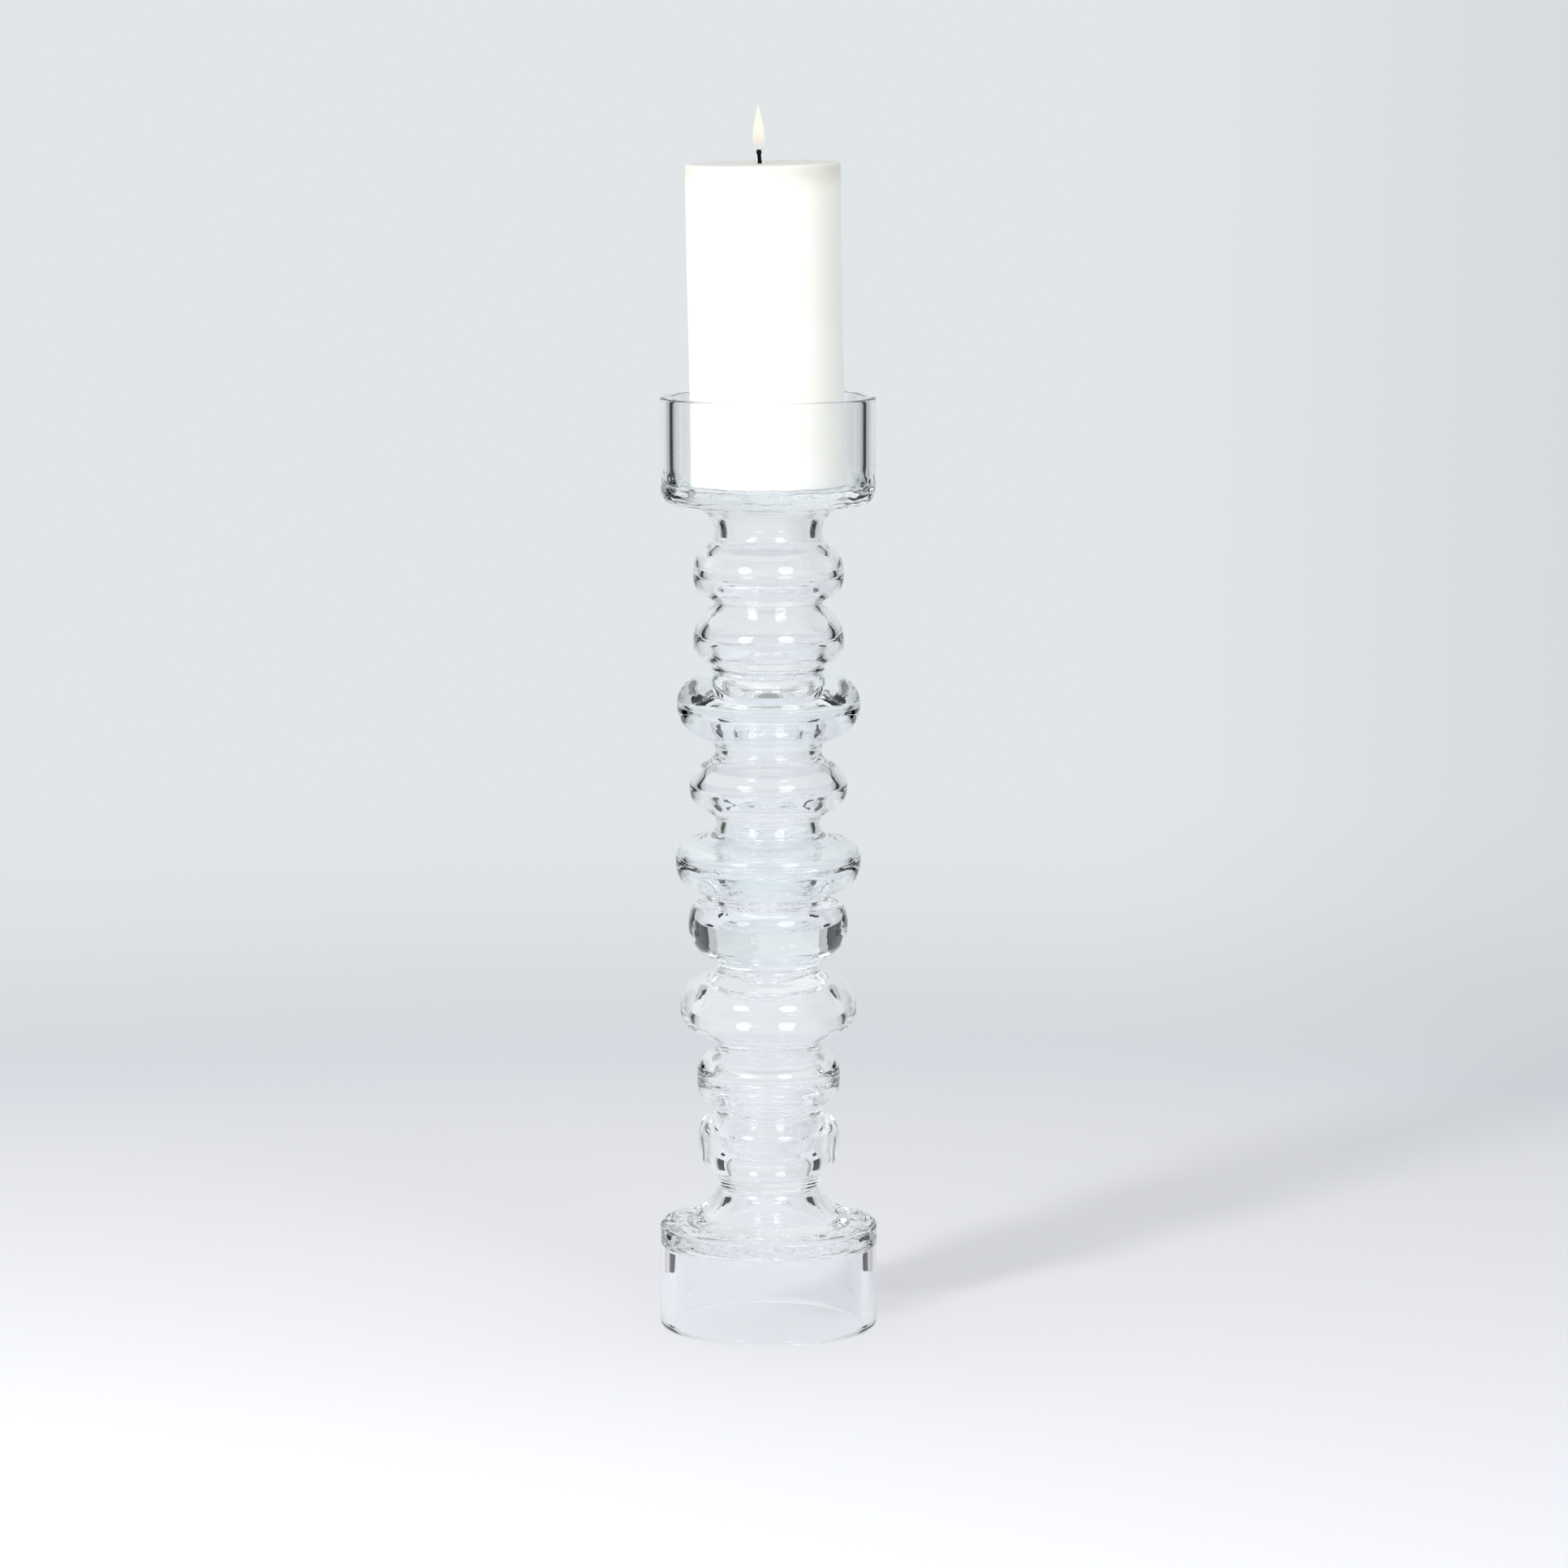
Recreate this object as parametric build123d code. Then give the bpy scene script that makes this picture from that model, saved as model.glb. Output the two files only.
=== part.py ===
from build123d import *
import os
from collections import namedtuple

# A tall table-top holder for one pillar candle, in clear glass.
# From the table up it is an open base cup standing on its rim, a stem of blown and pressed glass
# sections fused end to end, and a shallow cup that holds the candle.
# Millimetres. The origin is on the table under the middle of the base, +Z is up and +X is to the
# right of a viewer who stands on the -Y side.

# Driving sizes
HOLDER_HEIGHT = 457.0     # table to the rim of the candle cup, 18 in
CUP_RADIUS = 51.8
CUP_WALL = 5.8
CUP_FLOOR = 8.0
CUP_DEPTH = 43.7          # cup floor to cup rim
BASE_RADIUS = 52.95
BASE_WALL = 6.95
BASE_PLATE = 8.9
BASE_HEIGHT = 52.1
CANDLE_RADIUS = 37.4      # nominal 3 in pillar
CANDLE_HEIGHT = 155.4     # nominal 6 in
CANDLE_LEAN = 1.0         # degrees towards -X, because its foot is not quite square
WICK_RADIUS = 1.3
WICK_OFFSET = -1.3        # the wick is cast a little off the candle's middle
WICK_ABOVE_WAX = 6.4

# Finer sizes
CUP_FOOT_ROUND = 6.5
CUP_INNER_ROUND = 3.0
CUP_RIM_ROUND = 1.0
BASE_SHOULDER_ROUND = 2.5
BASE_INNER_ROUND = 3.0
BASE_RIM_ROUND = 3.0
FLARE_EDGE = 0.8          # height of a flare's thin outer edge where it is fused on a plate
CANDLE_EDGE_ROUND = 1.2
POOL_RADIUS = 6.8         # burnt hollow round the wick
POOL_DEPTH = 1.4
WICK_KNOB_RADIUS = 1.6    # burnt head of the wick
WICK_KNOB_HEIGHT = 2.4
TAB_RADIUS = 9.0          # pressed metal wick tab under the candle
TAB_THICKNESS = 0.5
TAB_COLLAR_RADIUS = 2.1
TAB_COLLAR_HEIGHT = 4.0

# Heights that follow from them
CUP_UNDERSIDE = HOLDER_HEIGHT - CUP_DEPTH - CUP_FLOOR
CUP_FLOOR_TOP = HOLDER_HEIGHT - CUP_DEPTH

# The stem is turned about Z. A girth is a place on its outline where the glass stands upright: its
# radius and height, and how far the outline keeps to that radius below and above it, as a
# fraction of the way to the next girth.
Girth = namedtuple("Girth", "radius height below above")

# Outer girths, one at each neck and one round each belly, from the top of the stem down.
NECK_UNDER_CUP = Girth(26.1, 391.9, 0.50, 0.45)
BELLY_1 = Girth(36.5, 369.8, 0.80, 0.85)
NECK_1_2 = Girth(26.5, 357.2, 0.10, 0.15)
BELLY_2 = Girth(36.6, 338.2, 0.75, 0.65)
NECK_2_DISC = Girth(27.2, 324.7, 0.05, 0.35)
BELLY_UPPER_DISC = Girth(44.5, 308.0, 0.80, 0.80)
NECK_DISC_3 = Girth(25.8, 285.8, 0.50, 0.30)
BELLY_3 = Girth(38.3, 266.7, 0.70, 0.80)
NECK_3_DISC = Girth(25.2, 251.0, 0.30, 0.25)
COLLAR_OVER_DISC = Girth(25.8, 246.6, 0.40, 0.40)
BELLY_LOWER_DISC = Girth(44.9, 231.6, 1.00, 0.95)
NECK_DISC_STUB = Girth(30.5, 214.6, 0.40, 0.15)
BELLY_SOLID_RING = Girth(38.8, 199.5, 0.75, 0.00)
NECK_RING_FLAT = Girth(24.8, 179.5, 0.35, 0.25)
BELLY_FLAT = Girth(43.0, 157.7, 0.65, 0.95)
NECK_FLAT_4 = Girth(26.4, 139.0, 0.20, 0.35)
BELLY_4 = Girth(35.0, 124.5, 1.00, 0.85)
NECK_4_THICK = Girth(25.8, 107.6, 0.25, 0.45)
BELLY_THICK = Girth(34.6, 92.0, 0.70, 1.00)
NECK_THICK_FOOT = Girth(25.1, 71.2, 0.45, 0.40)

# Bore girths: the hollow of the stem where it passes each neck and inside each belly. An edge is
# the corner where the thick roof or floor of a disc's hollow meets the bore of a neck.
BORE_UNDER_CUP = Girth(20.5, 391.9, 0.45, 0.60)
BORE_BELLY_1 = Girth(31.8, 370.8, 0.24, 0.40)
BORE_1_2 = Girth(22.0, 357.2, 0.30, 0.25)
BORE_BELLY_2 = Girth(31.2, 340.8, 0.26, 0.42)
BORE_2_DISC = Girth(21.8, 324.7, 0.40, 0.35)
EDGE_UPPER_DISC_TOP = Girth(22.4, 316.8, 0.10, 0.40)
BORE_UPPER_DISC = Girth(39.6, 307.8, 0.40, 0.52)
EDGE_UPPER_DISC_FOOT = Girth(21.4, 291.0, 0.40, 0.10)
BORE_DISC_3 = Girth(20.2, 285.8, 0.45, 0.40)
BORE_BELLY_3 = Girth(32.8, 267.8, 0.26, 0.40)
BORE_3_DISC = Girth(20.8, 251.0, 0.40, 0.35)
EDGE_LOWER_DISC_TOP = Girth(22.2, 241.6, 0.10, 0.40)
BORE_LOWER_DISC = Girth(40.0, 232.4, 0.40, 0.56)
BORE_DISC_STUB = Girth(21.0, 214.6, 0.30, 0.15)
BORE_FLAT = Girth(36.2, 153.6, 0.30, 0.50)
BORE_FLAT_4 = Girth(20.0, 139.0, 0.30, 0.25)
BORE_4 = Girth(32.0, 124.6, 0.28, 0.30)
BORE_4_THICK = Girth(20.2, 107.6, 0.30, 0.25)
BORE_THICK = Girth(25.4, 97.8, 0.30, 0.38)

# Solid, spread and closed places in the stem
CUP_FLARE_RADIUS = 37.0       # neck spread under the cup
CUP_FLARE_BORE = 27.0
CUP_FLARE_UPRIGHT = 0.45      # how long each flare stays upright, as a fraction of its height
CUP_FLARE_SLOPE = 0.10        # how steeply it meets the plate, as a fraction of its height
CUP_FLARE_BORE_UPRIGHT = 0.60
CUP_FLARE_BORE_SLOPE = 0.20
RING_CREST = (34.0, 210.3)    # radius and height of the solid ring's top edge
RING_FLOOR = 199.5            # bottom of the dish in the solid ring
RING_DISH_RADIUS = 25.8
STUB_RADIUS = 25.5            # solid-ended tube that stands in the dish
STUB_STRAIGHT_TOP = 206.5
STUB_FOOT_ROUND = 2.8
STUB_BORE = 15.4
STUB_BORE_TOP = 209.5
STUB_BORE_FLOOR = 202.3
STUB_BORE_ROUND = 3.5
FLAT_CEILING = (27.5, 166.8)  # edge of the flat ceiling inside the flat bead
FLAT_DIMPLE = (13.8, 171.2)   # radius and height of the hollow in that ceiling
FLAT_DIMPLE_ROUND = 2.0
THICK_BORE_LOW = (20.6, 84.5) # where the thick bead's hollow ends in a rounded floor
THICK_BORE_FLOOR = 77.6
THICK_BORE_ROUND = 5.0
FOOT_FLARE_RADIUS = 40.0
FOOT_FLARE_UPRIGHT = 0.30
FOOT_FLARE_SLOPE = 0.28
FOOT_BORE_RADIUS = 28.2       # hollow foot where it stands on the base plate
FOOT_BORE_NECK = 17.6
FOOT_BORE_CEILING = 69.2
FOOT_BORE_ROUND = 1.8
FOOT_BORE_UPRIGHT = 0.25
FOOT_BORE_SLOPE = 0.30


def swell(*girths):
    """Outline edges through girths given from the bottom up, upright at each of them."""
    edges = []
    for low, high in zip(girths, girths[1:]):
        rise = high.height - low.height
        start = (low.radius, low.height)
        end = (high.radius, high.height)
        low_handle = (low.radius, low.height + low.above * rise)
        high_handle = (high.radius, high.height - high.below * rise)
        edges.append(Bezier(start, low_handle, high_handle, end))
    return edges


def flare(neck, rim, upright, slope):
    """Control points of an outline that leaves a neck upright and spreads to a rim."""
    neck_radius, neck_height = neck
    rim_radius, rim_height = rim
    rise = rim_height - neck_height
    middle_radius = (neck_radius + rim_radius) / 2
    return (
        neck,
        (neck_radius, neck_height + upright * rise),
        (middle_radius, rim_height - slope * rise),
        rim,
    )


def turned(outer, inner):
    """Solid of revolution between an outer and an inner outline, both drawn from the bottom up."""
    foot = Line(inner[0] @ 0, outer[0] @ 0)
    head = Line(outer[-1] @ 1, inner[-1] @ 1)
    half_section = make_face(Wire([foot, *outer, head, *inner]))
    return revolve(Plane.XZ * half_section, axis=Axis.Z)


def cup_shape(plate_outer, rim, radius, wall, plate, rounds):
    """A turned cup with a flat plate at one end. The rim may be above the plate or below it."""
    plate_inner = plate_outer + plate if rim > plate_outer else plate_outer - plate
    bore = radius - wall
    outer_round, rim_round, inner_round = rounds
    outline = FilletPolyline(
        (0, plate_outer),
        (radius, plate_outer),
        (radius, rim),
        (bore, rim),
        (bore, plate_inner),
        (0, plate_inner),
        radius=[outer_round, rim_round, rim_round, inner_round],
    )
    axis_edge = Line((0, plate_inner), (0, plate_outer))
    half_section = make_face(Wire([*outline.edges(), axis_edge]))
    return revolve(Plane.XZ * half_section, axis=Axis.Z)


def candle_cup():
    rounds = (CUP_FOOT_ROUND, CUP_RIM_ROUND, CUP_INNER_ROUND)
    return cup_shape(CUP_UNDERSIDE, HOLDER_HEIGHT, CUP_RADIUS, CUP_WALL, CUP_FLOOR, rounds)


def base_cup():
    rounds = (BASE_SHOULDER_ROUND, BASE_RIM_ROUND, BASE_INNER_ROUND)
    return cup_shape(BASE_HEIGHT, 0, BASE_RADIUS, BASE_WALL, BASE_PLATE, rounds)


def cup_neck():
    """Short tube that spreads into a flare fused under the cup."""
    neck = (NECK_UNDER_CUP.radius, NECK_UNDER_CUP.height)
    rim = (CUP_FLARE_RADIUS, CUP_UNDERSIDE - FLARE_EDGE)
    spread = Bezier(*flare(neck, rim, CUP_FLARE_UPRIGHT, CUP_FLARE_SLOPE))
    edge = Line(rim, (CUP_FLARE_RADIUS, CUP_UNDERSIDE))
    bore_neck = (BORE_UNDER_CUP.radius, BORE_UNDER_CUP.height)
    bore_rim = (CUP_FLARE_BORE, CUP_UNDERSIDE)
    bore = Bezier(*flare(bore_neck, bore_rim, CUP_FLARE_BORE_UPRIGHT, CUP_FLARE_BORE_SLOPE))
    return turned([spread, edge], [bore])


def bead_1():
    outer = swell(NECK_1_2, BELLY_1, NECK_UNDER_CUP)
    return turned(outer, swell(BORE_1_2, BORE_BELLY_1, BORE_UNDER_CUP))


def bead_2():
    outer = swell(NECK_2_DISC, BELLY_2, NECK_1_2)
    return turned(outer, swell(BORE_2_DISC, BORE_BELLY_2, BORE_1_2))


def upper_disc():
    outer = swell(NECK_DISC_3, BELLY_UPPER_DISC, NECK_2_DISC)
    return turned(outer, swell(
        BORE_DISC_3, EDGE_UPPER_DISC_FOOT, BORE_UPPER_DISC, EDGE_UPPER_DISC_TOP, BORE_2_DISC
    ))


def bead_3():
    outer = swell(NECK_3_DISC, BELLY_3, NECK_DISC_3)
    return turned(outer, swell(BORE_3_DISC, BORE_BELLY_3, BORE_DISC_3))


def lower_disc():
    outer = swell(NECK_DISC_STUB, BELLY_LOWER_DISC, COLLAR_OVER_DISC, NECK_3_DISC)
    return turned(outer, swell(BORE_DISC_STUB, BORE_LOWER_DISC, EDGE_LOWER_DISC_TOP, BORE_3_DISC))


def stub_neck():
    """Tube with a thick closed foot that stands in the dish of the solid ring."""
    top = NECK_DISC_STUB
    foot_and_side = FilletPolyline(
        (0, RING_FLOOR),
        (STUB_RADIUS, RING_FLOOR),
        (STUB_RADIUS, STUB_STRAIGHT_TOP),
        radius=[STUB_FOOT_ROUND],
    ).edges()
    spread = swell(Girth(STUB_RADIUS, STUB_STRAIGHT_TOP, 0.0, 0.45), top)
    floor_and_bore = FilletPolyline(
        (0, STUB_BORE_FLOOR),
        (STUB_BORE, STUB_BORE_FLOOR),
        (STUB_BORE, STUB_BORE_TOP),
        radius=[STUB_BORE_ROUND],
    ).edges()
    bore_spread = swell(Girth(STUB_BORE, STUB_BORE_TOP, 0.0, 0.5), BORE_DISC_STUB)
    return turned([*foot_and_side, *spread], [*floor_and_bore, *bore_spread])


def solid_ring():
    """Solid pressed ring with a dished top. Its foot is the narrow neck above the flat bead."""
    crest_radius, crest_height = RING_CREST
    side = swell(NECK_RING_FLAT, BELLY_SOLID_RING)
    shoulder = BELLY_SOLID_RING.radius - crest_radius
    lip = crest_radius - RING_DISH_RADIUS
    rise = crest_height - RING_FLOOR
    outer_arc = EllipticalCenterArc((crest_radius, RING_FLOOR), shoulder, rise, 0, arc_size=90)
    inner_arc = EllipticalCenterArc((crest_radius, RING_FLOOR), lip, rise, 90, arc_size=90)
    core = Line((0, NECK_RING_FLAT.height), (0, RING_FLOOR))
    return turned([*side, outer_arc, inner_arc], [core])


def flat_bead():
    """Wide squashed bead, solid at the top, with a flat-ceilinged hollow."""
    outer = swell(NECK_FLAT_4, BELLY_FLAT, NECK_RING_FLAT)
    ceiling_radius, ceiling = FLAT_CEILING
    dimple_radius, dimple_top = FLAT_DIMPLE
    wall = swell(BORE_FLAT_4, BORE_FLAT)
    rise = ceiling - BORE_FLAT.height
    shoulder = Bezier(
        (BORE_FLAT.radius, BORE_FLAT.height),
        (BORE_FLAT.radius, BORE_FLAT.height + rise * BORE_FLAT.above),
        (ceiling_radius + rise / 4, ceiling),
        (ceiling_radius, ceiling),
    )
    dimple = FilletPolyline(
        (ceiling_radius, ceiling),
        (dimple_radius, ceiling),
        (dimple_radius, dimple_top),
        (0, dimple_top),
        radius=FLAT_DIMPLE_ROUND,
    ).edges()
    return turned(outer, [*wall, shoulder, *dimple])


def bead_4():
    outer = swell(NECK_4_THICK, BELLY_4, NECK_FLAT_4)
    return turned(outer, swell(BORE_4_THICK, BORE_4, BORE_FLAT_4))


def thick_bead():
    """Thick-walled bead whose hollow ends in a rounded floor."""
    outer = swell(NECK_THICK_FOOT, BELLY_THICK, NECK_4_THICK)
    low_radius, low_height = THICK_BORE_LOW
    floor = FilletPolyline(
        (0, THICK_BORE_FLOOR),
        (low_radius, THICK_BORE_FLOOR),
        (low_radius, low_height),
        radius=[THICK_BORE_ROUND],
    ).edges()
    wall = swell(Girth(low_radius, low_height, 0.0, 0.4), BORE_THICK, BORE_4_THICK)
    return turned(outer, [*floor, *wall])


def foot_flare():
    """Hollow foot that spreads on to the base plate, closed at its neck."""
    neck = (NECK_THICK_FOOT.radius, NECK_THICK_FOOT.height)
    rim = (FOOT_FLARE_RADIUS, BASE_HEIGHT + FLARE_EDGE)
    edge = Line((FOOT_FLARE_RADIUS, BASE_HEIGHT), rim)
    spread = Bezier(*reversed(flare(neck, rim, FOOT_FLARE_UPRIGHT, FOOT_FLARE_SLOPE)))
    bore_neck = (FOOT_BORE_NECK, FOOT_BORE_CEILING - 2 * FOOT_BORE_ROUND)
    bore_rim = (FOOT_BORE_RADIUS, BASE_HEIGHT)
    bore = Bezier(*reversed(flare(bore_neck, bore_rim, FOOT_BORE_UPRIGHT, FOOT_BORE_SLOPE)))
    ceiling = FilletPolyline(
        bore_neck,
        (FOOT_BORE_NECK, FOOT_BORE_CEILING),
        (0, FOOT_BORE_CEILING),
        radius=[FOOT_BORE_ROUND],
    ).edges()
    return turned([edge, spread], [bore, *ceiling])


def on_candle(shape):
    """Move a shape drawn about the candle's own axis to where the leaning candle stands."""
    return Pos(0, 0, CUP_FLOOR_TOP) * Rot(0, -CANDLE_LEAN, 0) * shape


def wick_axis(height):
    """A place on the wick's line, in the candle's own axes."""
    return Pos(WICK_OFFSET, 0, height)


def standing(solid):
    """Trim what would lie below the cup's floor, so that the leaning candle stands flat."""
    reach = CANDLE_HEIGHT
    below = Pos(0, 0, CUP_FLOOR_TOP - reach / 2) * Box(reach, reach, reach)
    return solid - below


def wick_tab_shape():
    """Pressed plate and crimped collar, in the candle's own axes."""
    plate_overlap = TAB_THICKNESS  # carried below the foot and trimmed flat with it
    plate = Cylinder(
        TAB_RADIUS,
        TAB_THICKNESS + plate_overlap,
        align=(Align.CENTER, Align.CENTER, Align.MIN),
    )
    collar = Cylinder(
        TAB_COLLAR_RADIUS, TAB_COLLAR_HEIGHT, align=(Align.CENTER, Align.CENTER, Align.MIN)
    )
    return wick_axis(-plate_overlap) * plate + wick_axis(0) * collar


def wick_shape():
    """Straight cord with a swollen burnt head, in the candle's own axes."""
    length = CANDLE_HEIGHT + WICK_ABOVE_WAX - TAB_THICKNESS
    cord = wick_axis(TAB_THICKNESS) * Cylinder(
        WICK_RADIUS, length, align=(Align.CENTER, Align.CENTER, Align.MIN)
    )
    head_middle = CANDLE_HEIGHT + WICK_ABOVE_WAX - WICK_KNOB_HEIGHT / 2
    head = wick_axis(head_middle) * Cylinder(WICK_KNOB_RADIUS, WICK_KNOB_HEIGHT)
    head = fillet(head.edges().filter_by(GeomType.CIRCLE), WICK_KNOB_HEIGHT / 3)
    return cord + head


def candle():
    overlap = CANDLE_RADIUS / 20  # carried below the foot and trimmed flat
    wax = Pos(0, 0, -overlap) * Cylinder(
        CANDLE_RADIUS, CANDLE_HEIGHT + overlap, align=(Align.CENTER, Align.CENTER, Align.MIN)
    )
    wax = fillet(wax.edges().group_by(Axis.Z)[-1], CANDLE_EDGE_ROUND)
    pool_sphere_radius = (POOL_RADIUS**2 + POOL_DEPTH**2) / (2 * POOL_DEPTH)
    pool = wick_axis(CANDLE_HEIGHT - POOL_DEPTH + pool_sphere_radius) * Sphere(pool_sphere_radius)
    return standing(on_candle(wax - pool - wick_shape() - wick_tab_shape()))


def wick():
    return on_candle(wick_shape())


def wick_tab():
    return standing(on_candle(wick_tab_shape() - wick_shape()))


PIECES = [
    candle_cup,
    cup_neck,
    bead_1,
    bead_2,
    upper_disc,
    bead_3,
    lower_disc,
    stub_neck,
    solid_ring,
    flat_bead,
    bead_4,
    thick_bead,
    foot_flare,
    base_cup,
    candle,
    wick,
    wick_tab,
]

os.makedirs("parts", exist_ok=True)
for piece in PIECES:
    export_step(piece(), f"parts/{piece.__name__}.step")
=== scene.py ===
import math
import random
from collections import namedtuple

import bmesh
import bpy
from mathutils import Matrix, Vector


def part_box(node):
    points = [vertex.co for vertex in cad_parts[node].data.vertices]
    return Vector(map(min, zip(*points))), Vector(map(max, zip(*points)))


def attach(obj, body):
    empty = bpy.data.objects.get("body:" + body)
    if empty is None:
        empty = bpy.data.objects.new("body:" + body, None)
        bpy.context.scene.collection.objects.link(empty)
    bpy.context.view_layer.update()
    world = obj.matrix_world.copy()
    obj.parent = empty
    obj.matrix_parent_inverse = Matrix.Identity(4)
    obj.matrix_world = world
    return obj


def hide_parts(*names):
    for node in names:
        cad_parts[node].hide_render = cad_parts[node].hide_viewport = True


# A clear glass pillar-candle holder, with its candle lit, on a pale studio sweep.
# Outlines are in millimetres about the stem's axis and become metres in the row frame.

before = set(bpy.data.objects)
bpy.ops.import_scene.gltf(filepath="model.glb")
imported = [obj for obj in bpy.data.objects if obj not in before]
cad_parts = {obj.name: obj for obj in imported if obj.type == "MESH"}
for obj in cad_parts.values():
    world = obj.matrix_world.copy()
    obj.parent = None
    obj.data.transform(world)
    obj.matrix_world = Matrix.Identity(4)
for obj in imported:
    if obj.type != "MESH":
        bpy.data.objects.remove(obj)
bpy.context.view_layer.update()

MM = 0.001
TAU = 2 * math.pi

# ---------------------------------------------------------------- sizes taken from the frame
HOLDER = "holder"
CANDLE = "candle"


def node_heights(node):
    low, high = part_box(node)
    return low.z / MM, high.z / MM


def node_radius(node):
    low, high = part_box(node)
    return (high.y - low.y) / 2 / MM


CUP_UNDERSIDE, CUP_RIM = node_heights("candle_cup")
CUP_RADIUS = node_radius("candle_cup")
BASE_FOOT, BASE_TOP = node_heights("base_cup")
BASE_RADIUS = node_radius("base_cup")
CANDLE_FOOT = node_heights("candle")[0]
CANDLE_RADIUS = node_radius("candle")

# ---------------------------------------------------------------- outline sizes, as in the CAD
CUP_WALL = 5.8
CUP_FLOOR_TOP = CANDLE_FOOT
CUP_FOOT_ROUND = 6.5
CUP_INNER_ROUND = 3.0
CUP_RIM_ROUND = 1.0
BASE_WALL = 6.95
BASE_PLATE = 8.9
BASE_SHOULDER_ROUND = 2.5
BASE_INNER_ROUND = 3.0
BASE_RIM_ROUND = 3.0
FLARE_EDGE = 0.8

# The stem is turned about Z. A girth is a place on its outline where the glass stands upright: its
# radius and height, and how far the outline keeps to that radius below and above it, as a
# fraction of the way to the next girth.
Girth = namedtuple("Girth", "radius height below above")

# Outer girths, one at each neck, collar and belly, from the top of the stem down.
NECK_UNDER_CUP = Girth(26.1, 391.9, 0.50, 0.45)
BELLY_1 = Girth(36.5, 369.8, 0.80, 0.85)
NECK_1_2 = Girth(26.5, 357.2, 0.10, 0.15)
BELLY_2 = Girth(36.6, 338.2, 0.75, 0.65)
NECK_2_DISC = Girth(27.2, 324.7, 0.05, 0.35)
BELLY_UPPER_DISC = Girth(44.5, 308.0, 0.80, 0.80)
NECK_DISC_3 = Girth(25.8, 285.8, 0.50, 0.30)
BELLY_3 = Girth(38.3, 266.7, 0.70, 0.80)
NECK_3_DISC = Girth(25.2, 251.0, 0.30, 0.25)
COLLAR_OVER_DISC = Girth(25.8, 246.6, 0.40, 0.40)
BELLY_LOWER_DISC = Girth(44.9, 231.6, 1.00, 0.95)
NECK_DISC_STUB = Girth(30.5, 214.6, 0.40, 0.15)
BELLY_SOLID_RING = Girth(38.8, 199.5, 0.75, 0.00)
NECK_RING_FLAT = Girth(24.8, 179.5, 0.35, 0.25)
BELLY_FLAT = Girth(43.0, 157.7, 0.65, 0.95)
NECK_FLAT_4 = Girth(26.4, 139.0, 0.20, 0.35)
BELLY_4 = Girth(35.0, 124.5, 1.00, 0.85)
NECK_4_THICK = Girth(25.8, 107.6, 0.25, 0.45)
BELLY_THICK = Girth(34.6, 92.0, 0.70, 1.00)
NECK_THICK_FOOT = Girth(25.1, 71.2, 0.45, 0.40)

# Bore girths: the hollow of the stem where it passes each neck and inside each belly. An edge is
# the corner where the thick roof or floor of a disc's hollow meets the bore of a neck.
BORE_UNDER_CUP = Girth(20.5, 391.9, 0.45, 0.60)
BORE_BELLY_1 = Girth(31.8, 370.8, 0.24, 0.40)
BORE_1_2 = Girth(22.0, 357.2, 0.30, 0.25)
BORE_BELLY_2 = Girth(31.2, 340.8, 0.26, 0.42)
BORE_2_DISC = Girth(21.8, 324.7, 0.40, 0.35)
EDGE_UPPER_DISC_TOP = Girth(22.4, 316.8, 0.10, 0.40)
BORE_UPPER_DISC = Girth(39.6, 307.8, 0.40, 0.52)
EDGE_UPPER_DISC_FOOT = Girth(21.4, 291.0, 0.40, 0.10)
BORE_DISC_3 = Girth(20.2, 285.8, 0.45, 0.40)
BORE_BELLY_3 = Girth(32.8, 267.8, 0.26, 0.40)
BORE_3_DISC = Girth(20.8, 251.0, 0.40, 0.35)
EDGE_LOWER_DISC_TOP = Girth(22.2, 241.6, 0.10, 0.40)
BORE_LOWER_DISC = Girth(40.0, 232.4, 0.40, 0.56)
BORE_DISC_STUB = Girth(21.0, 214.6, 0.30, 0.15)
BORE_FLAT = Girth(36.2, 153.6, 0.30, 0.50)
BORE_FLAT_4 = Girth(20.0, 139.0, 0.30, 0.25)
BORE_4 = Girth(32.0, 124.6, 0.28, 0.30)
BORE_4_THICK = Girth(20.2, 107.6, 0.30, 0.25)
BORE_THICK = Girth(25.4, 97.8, 0.30, 0.38)

# Solid, spread and closed places in the stem
CUP_FLARE_RADIUS = 37.0
CUP_FLARE_BORE = 27.0
CUP_FLARE_UPRIGHT = 0.45      # how long each flare stays upright, as a fraction of its height
CUP_FLARE_SLOPE = 0.10        # how steeply it meets the plate, as a fraction of its height
CUP_FLARE_BORE_UPRIGHT = 0.60
CUP_FLARE_BORE_SLOPE = 0.20
RING_CREST = (34.0, 210.3)    # radius and height of the solid ring's top edge
RING_FLOOR = 199.5            # bottom of the dish in the solid ring
RING_DISH_RADIUS = 25.8
STUB_RADIUS = 25.5
STUB_STRAIGHT_TOP = 206.5
STUB_FOOT_ROUND = 2.8
STUB_BONDED = STUB_RADIUS - STUB_FOOT_ROUND   # radius of the face that it shares with the ring
STUB_BORE = 15.4
STUB_BORE_TOP = 209.5
STUB_BORE_FLOOR = 202.3
STUB_BORE_ROUND = 3.5
FLAT_CEILING = (27.5, 166.8)  # edge of the flat ceiling inside the flat bead
FLAT_DIMPLE = (13.8, 171.2)   # radius and height of the hollow in that ceiling
FLAT_DIMPLE_ROUND = 2.0
THICK_BORE_LOW = (20.6, 84.5)
THICK_BORE_FLOOR = 77.6
THICK_BORE_ROUND = 5.0
FOOT_FLARE_RADIUS = 40.0
FOOT_FLARE_UPRIGHT = 0.30
FOOT_FLARE_SLOPE = 0.28
FOOT_BORE_RADIUS = 28.2
FOOT_BORE_NECK = 17.6
FOOT_BORE_CEILING = 69.2
FOOT_BORE_ROUND = 1.8
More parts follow.
